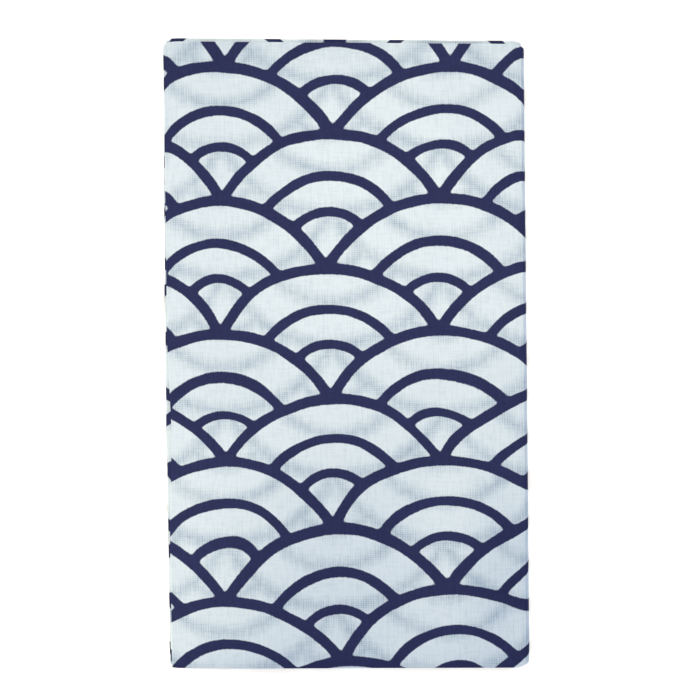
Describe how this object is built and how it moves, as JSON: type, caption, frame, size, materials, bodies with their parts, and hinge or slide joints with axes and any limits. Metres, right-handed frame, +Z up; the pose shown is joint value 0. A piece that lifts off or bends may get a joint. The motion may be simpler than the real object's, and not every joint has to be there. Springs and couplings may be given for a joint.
{
  "type": "tenugui towel, folded",
  "caption": "Thin flat cotton cloth towel with a wave-scale print, folded crosswise and then in half into a flat rectangular pack, for wiping, wrapping or display.",
  "frame": {"origin": "under the middle of the folded pack's bounding box, on the surface that it rests on", "axes": "+X towards the last, lengthwise fold; +Y along the pack towards the outer sheet's fold; +Z up through the layers"},
  "size_m": [0.1752, 0.3006, 0.0089],
  "materials": {
    "cotton": "plain-weave cotton with a matt navy and white dyed print"
  },
  "bodies": {
    "root": {"towel": "cotton"}
  },
  "joints": []
}
